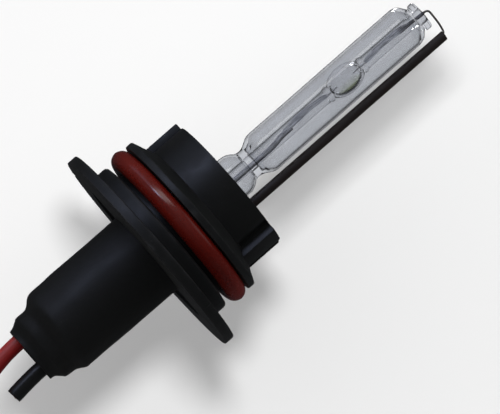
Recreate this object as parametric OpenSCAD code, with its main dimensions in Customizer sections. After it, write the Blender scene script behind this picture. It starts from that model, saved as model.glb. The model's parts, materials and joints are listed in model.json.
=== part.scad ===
// Gas discharge headlight bulb: a quartz capsule on a lugged plastic base that carries a
// red O-ring, with two silicone leads in a shrunk boot. The red lead ends in a plug.
// The bulb's axis is Z, the glass tip points up, and the origin is on the axis in the
// plane of the flange's seat face.

/* [Flange and collars] */
// Outer radius of the flange
flange_r = 24.5; // [23:0.1:27]
// Thickness of the flange, behind the seat face
flange_t = 2.3; // [1.8:0.1:4]
// Radius of the step collar on the seat face
step_r = 18.65; // [17.5:0.05:20]
// Length of the step collar
step_len = 3.2; // [2.4:0.1:4]
// Length of the O-ring groove
groove_len = 5.6; // [5:0.1:6.5]
// Radius of the groove's floor
groove_r = 15.2; // [14.6:0.1:15.3]
// Radius of the front collar, which centres the bulb in the lamp
collar_r = 19.15; // [18:0.05:20]
// Length of the front collar's straight wall
collar_len = 1.5; // [1:0.1:3]
// Length of the cone between front collar and pilot
cone_len = 2; // [1:0.1:3]

/* [Pilot] */
// Radius of the pilot
pilot_r = 14.5; // [14:0.05:15]
// Height of the pilot's front rim above the seat face
pilot_end = 20.1; // [19:0.1:24]
// Radius over the lugs
lug_r = 16.3; // [15:0.05:17]
// Height at which the narrow lugs end
lug_end = 20; // [16:0.1:20]
// Radius of the pocket inside the pilot
cavity_r = 11.2; // [10:0.1:12]

/* [O-ring] */
// Radius of the O-ring's centre line
o_ring_r = 17.45; // [17:0.05:18]
// Radius of the O-ring's section
o_ring_wire_r = 2.2; // [1.8:0.05:2.3]

/* [Quartz capsule] */
// Outer radius of the quartz jacket
jacket_r = 4.72; // [4:0.02:5]
// Wall of the quartz jacket
jacket_wall = 0.6; // [0.5:0.05:0.8]
// Height at which the jacket's neck begins
neck_z = 25.1; // [24.4:0.1:26]
// Radius of the neck
neck_r = 3.3; // [2.5:0.05:3.5]
// Height of the jacket's front shoulder
shoulder_z = 68.4; // [66:0.1:68.6]
// Height of the capsule's tip
tip_z = 72.7; // [72:0.1:75]
// Radius of the disc at the tip
tip_r = 3.2; // [2.5:0.05:3.6]
// Radius of the arc tube's legs
leg_r = 1.5; // [1.2:0.05:1.8]
// Height of the centre of the arc
arc_z = 51.8; // [48:0.1:54]
// Outer radius of the arc chamber
chamber_r = 3.07; // [2.8:0.01:3.3]
// Half of the arc chamber's outer length
chamber_half = 4.6; // [4:0.1:5]
// Wall of the arc chamber at its middle
chamber_wall = 0.82; // [0.6:0.01:1]
// Gap between the electrode tips
arc_gap = 4.2; // [3.8:0.1:4.6]

/* [Return path] */
// Distance from the bulb's axis to the ceramic sleeve's
sleeve_x = 6.5; // [6.2:0.05:7]
// Outer radius of the ceramic sleeve
sleeve_r = 1.05; // [0.9:0.05:1.2]
// Height of the ceramic sleeve's upper end
sleeve_top = 73.3; // [72:0.1:73.4]
// Radius of the return wire
return_r = 0.22; // [0.15:0.01:0.3]

/* [Boot and leads] */
// Radius of the boot along the stem
boot_r = 9.6; // [9.3:0.05:10]
// Radius of the base's rear stem, inside the boot
stem_r = 8.6; // [8.2:0.05:8.7]
// Length of the stem behind the seat face
stem_len = 22; // [18:0.5:23]
// Distance from the axis to each lead
lead_x = 3.55; // [3.3:0.05:3.57]
// Outer radius of a lead's insulation
lead_r = 1.675; // [1.5:0.025:1.68]
// Radius of a lead's stranded core
core_r = 0.75; // [0.5:0.05:0.8]

/* [Red lead's plug] */
// Radius of the plug's nose
nose_r = 3.75; // [3.5:0.05:4.2]
// Length of the plug's nose
nose_len = 10; // [7:0.5:12]
// Width of the plug's body
plug_w = 10.6; // [9.5:0.1:13]
// Depth of the plug's body
plug_d = 9.4; // [9.2:0.1:11]

/* [Hidden] */
$fn = 64;
EPS = 0.01;

// Heights along the base
groove_end = step_len + groove_len;
collar_end = groove_end + collar_len;
cone_end = collar_end + cone_len;
o_ring_z = step_len + 3.15;
edge_r = 0.5;

// Inside the base: a floor, a pocket, and a shoulder that the insert rests on
floor_top = 4;
insert_z = 16.6;
insert_t = 2;
insert_r = 12.35;
stem_bore_r = 6.9;

// Quartz capsule
foot_z = 9;
foot_top = 23.5;
neck_end = 26.4;
jacket_start = 29.1;
wire_r = 0.26;
foil_w = 1.4;
foil_t = 0.12;
rear_foil_z = [34.5, 47.2];
front_foil_z = [57, 69.2];
// Azimuth that the foils' faces are turned to, from the side that faces -Y
foil_turn = -58;
electrode_r = 0.16;
leg_start = 14.5;
cavity_half = chamber_half - 1.05;
cavity_rad = chamber_r - chamber_wall;

// Cement, clamp and splices
cement_top = 12;
clamp_t = 0.45;
splice_r = 1.2;
splice_low = -5.5;
splice_top = 1;
splice_middle = (splice_low + splice_top) / 2;
strip_z = -9;
grommet_top = -12;

// Boot: radius and height of each corner of its outline, from the flange to the mouth
boot_wall = 0.95;
boot_mouth = -33.8;
boot_outline = [
    [boot_r, -flange_t], [boot_r, -18.9], [boot_r - 0.2, -19.5], [boot_r - 0.2, -26.2],
    [boot_r - 0.5, -26.8], [8.1, -28.1], [7.85, -28.7], [7.8, -30.4], [7.5, -31],
    [6.5, -32.3], [6.25, -32.9], [6.25, boot_mouth],
];

// Route of the red lead's free part, from the boot's mouth down to the plug
red_route = [
    [-lead_x, 0, boot_mouth], [-3.5, 0, -35.5], [-3.3, 0, -38], [-2.8, 0, -41],
    [-2, 0, -45], [-0.9, -0.4, -50], [0.4, -1, -56], [1.8, -1.6, -63], [3, -2, -70.5],
    [3.8, -2, -78.5], [4.1, -1.6, -87], [4, -1, -95.5], [3.6, -0.4, -104],
    [3.2, -0.1, -112.5], [3, 0, -121], [3, 0, -129], [3, 0, -136], [3, 0, -142],
];
// Route of the black lead's free end, which is cut off square
black_route = [
    [lead_x, 0, boot_mouth], [3.6, 0, -36], [3.8, 0, -39], [4.1, 0, -41.8],
];
lead_sides = 8;

// Plug of the red lead: it hangs from plug_top, and its own heights count down from there
plug_x = 3;
plug_top = -142;
seal_depth = 7;
barrel_len = 9;
barrel_r = 4.6;
body_len = 13;
plug_len = barrel_len + body_len + nose_len;
socket_r = 0.75;

// Azimuths of the lugs about Z, from the side that faces -Y, each with its end height
lugs = [[-112, -98, lug_end], [56, 75, pilot_end], [98, 110, lug_end], [172, 188, lug_end]];

// Points of an arc about c, for an outline
function arc(c, r, a0, a1, n = 5) =
    [for (i = [0:n]) let (a = a0 + (a1 - a0) * i / n) c + r * [cos(a), sin(a)]];

// Right half of an ellipse about the axis, from below to above
function half_ellipse(z, r, half, n = 20) =
    [for (i = [0:n]) let (a = -90 + 180 * i / n) [r * cos(a), z + half * sin(a)]];

// Sweep of round rings along a route: a tube with a bore, or a rod when inner is 0
function unit(v) = v / norm(v);
function along(p, i) =
    let (n = len(p) - 1, ahead = unit(p[min(i, n - 1) + 1] - p[min(i, n - 1)]),
        behind = unit(p[max(i, 1)] - p[max(i, 1) - 1]))
    unit(ahead + behind);
function ring(p, i, r, sides) =
    let (t = along(p, i), u = unit(cross([0, 1, 0], t)), v = cross(t, u))
    [for (k = [0:sides - 1]) let (a = 360 * (k + 0.5) / sides) p[i] + r * (cos(a) * u + sin(a) * v)];
function rings(p, r, sides) = [for (i = [0:len(p) - 1]) each ring(p, i, r, sides)];
// Faces that join the rings of one wall, whose first point has the index base
function wall(count, sides, base, inward) =
    [for (i = [0:count - 2], k = [0:sides - 1])
        let (a = base + i * sides + k, b = base + i * sides + (k + 1) % sides)
        inward ? [a, b, b + sides, a + sides] : [a, a + sides, b + sides, b]];

module rod_sweep(p, r, sides = 8) {
    n = len(p);
    polyhedron(rings(p, r, sides), concat(
        [[for (k = [0:sides - 1]) k]],
        wall(n, sides, 0, false),
        [[for (k = [sides - 1:-1:0]) (n - 1) * sides + k]]));
}

module tube_sweep(p, r, inner, sides = 8) {
    n = len(p);
    m = n * sides;
    last = (n - 1) * sides;
    polyhedron(concat(rings(p, r, sides), rings(p, inner, sides)), concat(
        wall(n, sides, 0, false),
        wall(n, sides, m, true),
        [for (k = [0:sides - 1]) let (j = (k + 1) % sides) [k, j, m + j, m + k]],
        [for (k = [0:sides - 1]) let (j = (k + 1) % sides)
            [last + j, last + k, m + last + k, m + last + j]]));
}

// Part of a ring between two azimuths, measured from -Y towards +X
module ring_sector(r0, r1, z0, z1, a0, a1) {
    rotate_extrude(angle = a1 - a0, start = a0 - 90)
        translate([r0, z0]) square([r1 - r0, z1 - z0]);
}

module round_bore(x, r, z0, z1) {
    translate([x, 0, z0]) cylinder(r = r, h = z1 - z0);
}

module base_outline() {
    chamfer = 0.4;
    round_r = 0.9;
    polygon(concat(
        [[0, -stem_len], [stem_r - chamfer, -stem_len], [stem_r, chamfer - stem_len]],
        [[stem_r, -flange_t]],
        arc([flange_r - edge_r, edge_r - flange_t], edge_r, -90, 0),
        arc([flange_r - edge_r, -edge_r], edge_r, 0, 90),
        [[step_r, 0]],
        arc([step_r - round_r, step_len - round_r], round_r, 0, 90),
        [[groove_r, step_len], [groove_r, groove_end], [collar_r, groove_end]],
        [[collar_r, collar_end], [pilot_r, cone_end]],
        [[pilot_r, pilot_end - chamfer], [pilot_r - chamfer, pilot_end], [0, pilot_end]]));
}

module base_housing() {
    pocket_wall = 1.8;
    color([0.1, 0.1, 0.11]) difference() {
        union() {
            rotate_extrude() base_outline();
            for (l = lugs) ring_sector(pilot_r - 1, lug_r, collar_end, l[2], l[0], l[1]);
        }
        // front pocket, with the shoulder for the insert, and the bore of the stem
        round_bore(0, cavity_r, floor_top, pilot_end + 1);
        round_bore(0, insert_r, insert_z, pilot_end + 1);
        round_bore(0, stem_bore_r, -stem_len - 1, floor_top + 1);
        // moulding pockets in the far half of the rear face, with a web between them
        for (a = [[92, 176], [184, 268]])
            ring_sector(boot_r + 0.4, step_r - pocket_wall, -flange_t - 1,
                step_len - pocket_wall, a[0], a[1]);
        // sunk panel beside the broad lug
        ring_sector(pilot_r - 1.2, pilot_r + 1, cone_end + 0.3, pilot_end - 0.7, 47, 56);
        // index notch in the flange's rear edge
        rotate([0, 0, -114]) translate([-1.3, -flange_r - 1, -flange_t - 1])
            cube([2.6, 2, 2]);
    }
}

module o_ring() {
    color([0.5, 0.1, 0.06]) translate([0, 0, o_ring_z])
        rotate_extrude() translate([o_ring_r, 0]) circle(r = o_ring_wire_r);
}

// Plastic disc in the pilot's mouth, which centres the capsule and the ceramic sleeve
module front_insert() {
    lip = 0.8;
    color([0.13, 0.13, 0.14]) difference() {
        union() {
            round_bore(0, insert_r, insert_z, insert_z + insert_t);
            round_bore(0, jacket_r + 1.6, insert_z, insert_z + insert_t + lip);
            round_bore(sleeve_x, sleeve_r + 1, insert_z, insert_z + insert_t + lip);
        }
        round_bore(0, jacket_r + 0.06, insert_z - 1, pilot_end);
        round_bore(sleeve_x, sleeve_r + 0.05, insert_z - 1, pilot_end);
    }
}

// Spring steel collar that grips the capsule's foot under the insert
module capsule_clamp() {
    flange = 8;
    slit = 0.8;
    top = insert_z - clamp_t;
    color([0.72, 0.72, 0.7]) difference() {
        union() {
            round_bore(0, jacket_r + clamp_t, cement_top, insert_z);
            round_bore(0, flange, top, insert_z);
        }
        round_bore(0, jacket_r, cement_top - 1, insert_z + 1);
        round_bore(sleeve_x, sleeve_r + 0.1, cement_top - 1, insert_z + 1);
        for (a = [45:90:315]) rotate([0, 0, a])
            translate([0, -slit / 2, cement_top - 1]) cube([flange, slit, top - cement_top]);
    }
}

module ceramic_cement() {
    color([0.86, 0.84, 0.78]) difference() {
        round_bore(0, cavity_r, floor_top, cement_top);
        round_bore(0, jacket_r, foot_z, cement_top + 1);
        round_bore(0, wire_r, floor_top - 1, cement_top);
        round_bore(sleeve_x, sleeve_r, floor_top + 2, cement_top + 1);
        round_bore(sleeve_x, return_r, floor_top - 1, cement_top);
    }
}

// Outline of the quartz jacket's foot and of its body, wall deep inside the outer surface.
// They leave out the inside of the neck, which is fused to the arc tube's leg.
function jacket_foot(wall) = concat(
    arc([jacket_r - 1.3, foot_top - 1.3], 1.3 - wall, 0, 60),
    arc([neck_r + 1, neck_z], 1 + wall, 215, wall > 0 ? 200 : 180));
function jacket_body(wall) = concat(
    arc([neck_r + 1.2, neck_end], 1.2 + wall, wall > 0 ? 160 : 180, 125),
    arc([jacket_r - 1.4, jacket_start + 0.2], 1.4 - wall, -40, 0),
    arc([jacket_r - 1.6, shoulder_z], 1.6 - wall, 0, 60));

module outer_jacket() {
    tip_disc_z = 71.1;
    groove = tip_r - 0.35;
    gap = 0.2;
    color([0.72, 0.73, 0.78, 0.45]) rotate_extrude() difference() {
        polygon(concat(
            [[leg_r, foot_z], [jacket_r, foot_z]],
            jacket_foot(0),
            jacket_body(0),
            [[groove + 0.1, shoulder_z + 2.2], [groove, tip_disc_z - 0.2]],
            arc([tip_r - 0.3, tip_disc_z + 0.3], 0.3, -60, 0, 3),
            arc([tip_r - 0.35, tip_z - 0.35], 0.35, 0, 90, 3),
            [[leg_r, tip_z]]));
        // room around the arc tube
        polygon(concat(
            [[0, neck_end + gap], [leg_r + gap, neck_end + gap]],
            jacket_body(jacket_wall),
            [[leg_r + 0.8, shoulder_z + 1.95], [leg_r + gap, shoulder_z + 2.05],
            [0, shoulder_z + 2.05]]));
        // hollow foot
        polygon(concat(
            [[0, foot_z - 1], [jacket_r - jacket_wall, foot_z - 1]],
            jacket_foot(jacket_wall),
            [[leg_r + gap, neck_z - gap], [0, neck_z - gap]]));
    }
}

module arc_tube() {
    color([0.78, 0.79, 0.84, 0.5]) difference() {
        union() {
            rotate_extrude() polygon(half_ellipse(arc_z, chamber_r, chamber_half));
            round_bore(0, leg_r, leg_start, arc_z - chamber_half + 1);
            round_bore(0, leg_r, arc_z + chamber_half - 1, tip_z);
            // fillets where the legs swell into the chamber
            for (m = [0, 1]) translate([0, 0, arc_z]) mirror([0, 0, m])
                translate([0, 0, chamber_half * 0.72])
                cylinder(r1 = chamber_r * 0.7, r2 = leg_r, h = 2.2);
        }
        rotate_extrude() polygon(half_ellipse(arc_z, cavity_rad, cavity_half));
        round_bore(0, electrode_r, rear_foil_z[1] - EPS, front_foil_z[0] + EPS);
        rear_foil_shape();
        front_foil_shape();
        round_bore(0, wire_r, leg_start - 1, rear_foil_z[0] + EPS);
        round_bore(0, wire_r, front_foil_z[1] - EPS, tip_z + 1);
    }
}

// Thin crust of metal halide salts on one side of the chamber's wall
module halide_deposit() {
    film = 0.12;
    color([0.8, 0.74, 0.45]) intersection() {
        rotate_extrude() difference() {
            polygon(half_ellipse(arc_z, cavity_rad, cavity_half));
            polygon(half_ellipse(arc_z, cavity_rad - film, cavity_half - film));
        }
        translate([cavity_rad, 0, arc_z]) rotate([0, -90, 0])
            cylinder(r = 1.1, h = cavity_rad);
    }
}

module foil_shape(z) {
    rotate([0, 0, foil_turn]) translate([-foil_w / 2, -foil_t / 2, z[0]])
        cube([foil_w, foil_t, z[1] - z[0]]);
}
module rear_foil_shape() { foil_shape(rear_foil_z); }
module front_foil_shape() { foil_shape(front_foil_z); }

module rear_foil() { color([0.45, 0.45, 0.5]) rear_foil_shape(); }
module front_foil() { color([0.45, 0.45, 0.5]) front_foil_shape(); }

module rear_electrode() {
    color([0.3, 0.3, 0.32])
        round_bore(0, electrode_r, rear_foil_z[1], arc_z - arc_gap / 2);
}

module front_electrode() {
    color([0.3, 0.3, 0.32])
        round_bore(0, electrode_r, arc_z + arc_gap / 2, front_foil_z[0]);
}

// From the rear foil down the capsule's foot and across to the red lead's splice
module rear_lead_wire() {
    color([0.55, 0.55, 0.57]) rod_sweep([
        [0, 0, rear_foil_z[0]], [0, 0, floor_top], [-0.3, 0, floor_top - 0.6],
        [0.3 - lead_x, 0, splice_top + 1], [-lead_x, 0, splice_top + 0.4],
        [-lead_x, 0, splice_middle]], wire_r);
}

module front_lead_wire() {
    color([0.55, 0.55, 0.57]) round_bore(0, wire_r, front_foil_z[1], tip_z + 0.3);
}

// From the tip over to the ceramic sleeve, down through it, and in to the black lead's splice
module return_wire() {
    start = tip_z + 0.3;
    color([0.42, 0.38, 0.34]) rod_sweep([
        [0, 0, start], [0, 0, start + 0.6], [0.1, 0, start + 0.95], [0.4, 0, start + 1.2],
        [0.85, 0, start + 1.25], [5.7, 0, start + 0.95], [6.15, 0, start + 0.8],
        [6.42, 0, start + 0.5], [sleeve_x, 0, start + 0.1], [sleeve_x, 0, floor_top],
        [sleeve_x - 0.3, 0, floor_top - 0.6], [lead_x + 0.3, 0, splice_top + 1],
        [lead_x, 0, splice_top + 0.4], [lead_x, 0, splice_middle]], return_r);
}

module ceramic_sleeve() {
    color([0.16, 0.12, 0.1]) difference() {
        union() {
            round_bore(sleeve_x, sleeve_r, floor_top + 2, sleeve_top - 0.25);
            translate([sleeve_x, 0, sleeve_top - 0.25])
                cylinder(r1 = sleeve_r, r2 = sleeve_r - 0.25, h = 0.25);
        }
        round_bore(sleeve_x, return_r + 0.2, floor_top + 1, sleeve_top + 1);
    }
}

// Crimped barrel: one half takes the lead's core, the other the capsule's wire
module splice(x, thin_r) {
    color([0.75, 0.62, 0.35]) difference() {
        round_bore(x, splice_r, splice_low, splice_top);
        round_bore(x, core_r, splice_low - 1, splice_middle);
        round_bore(x, thin_r, splice_middle - EPS, splice_top + 1);
    }
}
module rear_splice() { splice(-lead_x, wire_r); }
module return_splice() { splice(lead_x, return_r); }

module splice_sleeve(x) {
    sleeve_wall = 0.5;
    color([0.2, 0.2, 0.22]) difference() {
        round_bore(x, splice_r + sleeve_wall, splice_low - 0.6, splice_top + 0.3);
        round_bore(x, splice_r, splice_low - 1, splice_top + 1);
    }
}
module rear_splice_sleeve() { splice_sleeve(-lead_x); }
module return_splice_sleeve() { splice_sleeve(lead_x); }

module lead_grommet() {
    color([0.22, 0.22, 0.23]) difference() {
        round_bore(0, stem_bore_r, -stem_len, grommet_top);
        for (x = [-lead_x, lead_x]) round_bore(x, lead_r, -stem_len - 1, grommet_top + 1);
    }
}

module heat_shrink_boot() {
    // the bore follows the outline one wall further in, and the stem fills its upper part
    tail = [for (p = boot_outline) if (p[1] < -stem_len) [p[0] - boot_wall, p[1]]];
    color([0.12, 0.12, 0.13]) rotate_extrude() polygon(concat(
        boot_outline,
        [for (i = [len(tail) - 1:-1:0]) tail[i]],
        [[tail[0][0], -stem_len], [stem_r, -stem_len], [stem_r, -flange_t]]));
}

// Hot-melt adhesive that fills the boot's tail around the leads
module boot_sealant() {
    recess = 0.3;
    tail = [for (p = boot_outline) if (p[1] < -stem_len && p[1] > boot_mouth)
        [p[0] - boot_wall, p[1]]];
    end_r = tail[len(tail) - 1][0];
    color([0.15, 0.15, 0.16]) difference() {
        rotate_extrude() polygon(concat(
            [[0, -stem_len], [tail[0][0], -stem_len]], tail,
            [[end_r, boot_mouth + recess], [0, boot_mouth + recess]]));
        for (x = [-lead_x, lead_x]) round_bore(x, lead_r, boot_mouth - 1, -stem_len + 1);
    }
}

// A lead runs straight from its stripped end in the base to the boot's mouth
module insulation(route, x, end) {
    tube_sweep(concat([[x, 0, strip_z], [x, 0, -stem_len]], route, end), lead_r, core_r,
        lead_sides);
}
module core(route, x, end) {
    rod_sweep(concat([[x, 0, splice_middle], [x, 0, strip_z], [x, 0, -stem_len]], route, end),
        core_r, lead_sides);
}

module red_lead() {
    color([0.75, 0.1, 0.1]) insulation(red_route, -lead_x, [[plug_x, 0, plug_top - seal_depth]]);
}
module red_core() {
    color([0.8, 0.5, 0.3]) core(red_route, -lead_x,
        [[plug_x, 0, plug_top - seal_depth], [plug_x, 0, plug_top - barrel_len - 4]]);
}
module black_lead() {
    color([0.1, 0.1, 0.12]) insulation(black_route, lead_x, []);
}
module black_core() {
    color([0.8, 0.5, 0.3]) core(black_route, lead_x, []);
}

module plug_housing() {
    corner = 1.2;
    low = plug_top - plug_len;
    body_top = plug_top - barrel_len;
    color([0.09, 0.09, 0.1]) difference() {
        union() {
            round_bore(plug_x, barrel_r, body_top - 1, plug_top);
            translate([plug_x, 0, body_top - body_len]) linear_extrude(body_len)
                rounded_rectangle(plug_w, plug_d, corner);
            round_bore(plug_x, nose_r, low, body_top);
            // snap ramp that the mating connector's latch catches on
            translate([plug_x, -plug_d / 2 - 1.1, body_top - body_len + 2]) ramp(4, 1.6, 6);
        }
        round_bore(plug_x, lead_seat_r(), plug_top - seal_depth, plug_top + 1);
        round_bore(plug_x, terminal_r() + 0.05, low + 1.2, plug_top);
        round_bore(plug_x, socket_r + 0.3, low - 1, plug_top);
    }
}

function lead_seat_r() = barrel_r - 1.2;
function terminal_r() = 1.4;

module rounded_rectangle(w, d, r) {
    polygon(concat(
        arc([w / 2 - r, d / 2 - r], r, 0, 90), arc([r - w / 2, d / 2 - r], r, 90, 180),
        arc([r - w / 2, r - d / 2], r, 180, 270), arc([w / 2 - r, r - d / 2], r, 270, 360)));
}

// Wedge of width w that rises depth from the face behind it, over a height h
module ramp(w, depth, h) {
    translate([-w / 2, 0, 0]) rotate([90, 0, 90]) linear_extrude(w)
        polygon([[depth, 0], [0.9, 0], [0, h - 1], [0, h], [depth, h]]);
}

module plug_seal() {
    color([0.75, 0.3, 0.15]) difference() {
        union() {
            round_bore(plug_x, lead_seat_r() - 0.25, plug_top - seal_depth, plug_top + 0.4);
            for (i = [0:2]) round_bore(plug_x, lead_seat_r(), plug_top - 6 + 2 * i,
                plug_top - 5 + 2 * i);
        }
        round_bore(plug_x, lead_r, plug_top - seal_depth - 1, plug_top + 1);
    }
}

// Socket contact with a crimp barrel on the core
module plug_terminal() {
    low = plug_top - plug_len + 1.2;
    crimp_end = plug_top - barrel_len - 4;
    color([0.8, 0.78, 0.7]) difference() {
        round_bore(plug_x, terminal_r(), low, plug_top - seal_depth - 0.5);
        round_bore(plug_x, core_r, crimp_end, plug_top);
        round_bore(plug_x, socket_r, low - 1, low + 9);
    }
}

base_housing();
o_ring();
front_insert();
capsule_clamp();
ceramic_cement();
outer_jacket();
arc_tube();
halide_deposit();
rear_foil();
front_foil();
rear_electrode();
front_electrode();
rear_lead_wire();
front_lead_wire();
return_wire();
ceramic_sleeve();
rear_splice();
return_splice();
rear_splice_sleeve();
return_splice_sleeve();
lead_grommet();
heat_shrink_boot();
boot_sealant();
red_lead();
red_core();
black_lead();
black_core();
plug_housing();
plug_seal();
plug_terminal();
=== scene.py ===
import json
import math

import bmesh
import bpy
from mathutils import Matrix, Vector, noise


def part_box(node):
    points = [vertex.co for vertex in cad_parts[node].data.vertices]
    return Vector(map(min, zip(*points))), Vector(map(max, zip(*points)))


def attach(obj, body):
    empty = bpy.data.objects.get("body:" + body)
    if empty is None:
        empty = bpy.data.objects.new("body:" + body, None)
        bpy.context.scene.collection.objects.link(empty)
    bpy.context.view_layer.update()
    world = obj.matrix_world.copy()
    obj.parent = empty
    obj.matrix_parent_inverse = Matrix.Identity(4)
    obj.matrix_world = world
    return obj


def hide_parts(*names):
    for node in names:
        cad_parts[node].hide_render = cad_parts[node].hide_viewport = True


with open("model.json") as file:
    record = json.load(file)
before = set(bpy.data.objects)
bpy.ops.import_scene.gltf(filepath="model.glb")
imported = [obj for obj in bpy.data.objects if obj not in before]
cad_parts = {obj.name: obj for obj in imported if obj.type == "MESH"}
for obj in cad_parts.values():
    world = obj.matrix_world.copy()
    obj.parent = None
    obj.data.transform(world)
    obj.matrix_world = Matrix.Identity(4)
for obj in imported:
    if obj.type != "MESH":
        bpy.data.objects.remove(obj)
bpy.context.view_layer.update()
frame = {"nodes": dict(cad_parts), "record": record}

# Every size below is in millimetres and every azimuth in degrees, from -Y towards +X.
MM = 0.001


def low(node):
    """Lowest corner of a CAD node."""
    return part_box(node)[0] / MM


def high(node):
    """Highest corner of a CAD node."""
    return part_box(node)[1] / MM


def centre(node):
    return (low(node) + high(node)) / 2


def new_object(name, data):
    made = bpy.data.objects.new(name, data)
    bpy.context.scene.collection.objects.link(made)
    return made


def mesh_object(name, mesh):
    """An object made from a bmesh, which is freed."""
    data = bpy.data.meshes.new(name)
    mesh.to_mesh(data)
    mesh.free()
    return new_object(name, data)


# ---------------------------------------------------------------- camera
ROLL = math.radians(41.2)
ELEVATION = math.radians(-4.2)
CAMERA_DISTANCE = 1200
FRAME_WIDTH = 102.2
TARGET = Vector((6.76, 0, 19.97))
SENSOR = 36

BACK = Vector((0, -math.cos(ELEVATION), math.sin(ELEVATION)))
SIDE = Vector((1, 0, 0))
RISE = BACK.cross(SIDE)
RIGHT = math.cos(ROLL) * RISE + math.sin(ROLL) * SIDE
UP = math.sin(ROLL) * RISE - math.cos(ROLL) * SIDE


def make_camera():
    data = bpy.data.cameras.new("camera")
    data.sensor_width = SENSOR
    data.lens = SENSOR * CAMERA_DISTANCE / FRAME_WIDTH
    data.clip_start = 0.05
    data.clip_end = 20
    camera = new_object("camera", data)
    turn = Matrix((RIGHT, UP, BACK)).transposed().to_4x4()
    place = (TARGET + BACK * CAMERA_DISTANCE) * MM
    camera.matrix_world = Matrix.Translation(place) @ turn
    bpy.context.scene.camera = camera


# ---------------------------------------------------------------- shader helpers
def add(tree, kind, inputs=None, **settings):
    """A new shader node with its inputs and settings set. An input that is a socket gets linked."""
    made = tree.nodes.new(kind)
    for name, value in settings.items():
        setattr(made, name, value)
    for name, value in (inputs or {}).items():
        if isinstance(value, bpy.types.NodeSocket):
            tree.links.new(value, made.inputs[name])
        else:
            made.inputs[name].default_value = value
    return made


def millimetres(tree, stretch=(1, 1, 1)):
    """The object's own coordinates in millimetres, multiplied by stretch."""
    place = add(tree, "ShaderNodeTexCoord").outputs["Object"]
    scale = [s / MM for s in stretch]
    return add(tree, "ShaderNodeMapping", {"Vector": place, "Scale": scale}).outputs["Vector"]


def along(tree, axis):
    """The object's own X, Y or Z in millimetres."""
    return add(tree, "ShaderNodeSeparateXYZ", {"Vector": millimetres(tree)}).outputs[axis]


def grain(tree, scale, detail=4, stretch=(1, 1, 1), distortion=0):
    """Noise with scale features to a millimetre."""
    inputs = {"Vector": millimetres(tree, stretch), "Scale": scale, "Detail": detail,
              "Distortion": distortion}
    return add(tree, "ShaderNodeTexNoise", inputs).outputs["Fac"]


def specks(tree, scale, size):
    """1 in scattered small dots, scale of them to a millimetre, and 0 elsewhere."""
    cells = add(tree, "ShaderNodeTexVoronoi", {"Vector": millimetres(tree), "Scale": scale})
    return between(tree, cells.outputs["Distance"], size, size * 0.6)


def between(tree, value, start, end, low_out=0, high_out=1):
    """value, stretched so that start becomes low_out and end becomes high_out."""
    inputs = {"Value": value, "From Min": start, "From Max": end, "To Min": low_out,
              "To Max": high_out}
    return add(tree, "ShaderNodeMapRange", inputs).outputs["Result"]


def blend_colour(tree, share, first, second):
    """first where share is 0, and second where it is 1. Each is a socket or a colour."""
    low_end, high_end = (c if isinstance(c, bpy.types.NodeSocket) else (*c, 1)
                         for c in (first, second))
    inputs = {0: share, 6: low_end, 7: high_end}
    return add(tree, "ShaderNodeMix", inputs, data_type="RGBA").outputs[2]


def maths(tree, operation, first, second):
    return add(tree, "ShaderNodeMath", {0: first, 1: second}, operation=operation).outputs[0]


def times(tree, first, second):
    return maths(tree, "MULTIPLY", first, second)


def edges(tree):
    """1 along the surface's convex edges and 0 on its faces."""
    point = add(tree, "ShaderNodeNewGeometry").outputs["Pointiness"]
    return between(tree, point, 0.51, 0.56)


def relief(tree, shader, height, depth):
    """Bump whose full height stands for depth millimetres."""
    bump = add(tree, "ShaderNodeBump", {"Height": height, "Strength": 1, "Distance": depth * MM})
    tree.links.new(bump.outputs["Normal"], shader.inputs["Normal"])


def new_finish(name, **sockets):
    """A material with a Principled shader whose uniform values are set on its own sockets."""
    material = bpy.data.materials.new(name)
    material.use_nodes = True
    shader = material.node_tree.nodes["Principled BSDF"]
    for socket, value in sockets.items():
        shader.inputs[socket.replace("_", " ")].default_value = value
    return material, material.node_tree, shader


def link(tree, output, shader, socket):
    tree.links.new(output, shader.inputs[socket])


# ---------------------------------------------------------------- materials
QUARTZ_IOR = 1.46
SEAL_IOR = 1.2
CRUST_IOR = 1.08
DUST = (0.45, 0.45, 0.45)


def satin(name, dark, light, scale, rough, depth, stretch=(1, 1, 1), wear=None, dust=0, **sockets):
    """Plastic, rubber or metal: colour, roughness and relief come from grain. wear is the colour
    of its rubbed edges, and dust the share of pale specks on it."""
    material, tree, shader = new_finish(name, **sockets)
    fine = grain(tree, scale, 5, stretch)
    broad = grain(tree, scale * 0.06, 3, stretch, 0.6)
    tone = blend_colour(tree, between(tree, fine, 0.35, 0.65), dark, light)
    tone = blend_colour(tree, times(tree, between(tree, broad, 0.4, 0.7), 0.5), tone, light)
    if wear:
        rubbed = times(tree, edges(tree), between(tree, broad, 0.3, 0.6))
        tone = blend_colour(tree, times(tree, rubbed, 0.7), tone, wear)
    if dust:
        dots = times(tree, specks(tree, 1.1, 0.07), between(tree, broad, 0.5, 0.56))
        tone = blend_colour(tree, times(tree, dots, dust), tone, DUST)
    link(tree, tone, shader, "Base Color")
    link(tree, between(tree, broad, 0.3, 0.7, *rough), shader, "Roughness")
    relief(tree, shader, fine, depth)
    return material


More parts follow.
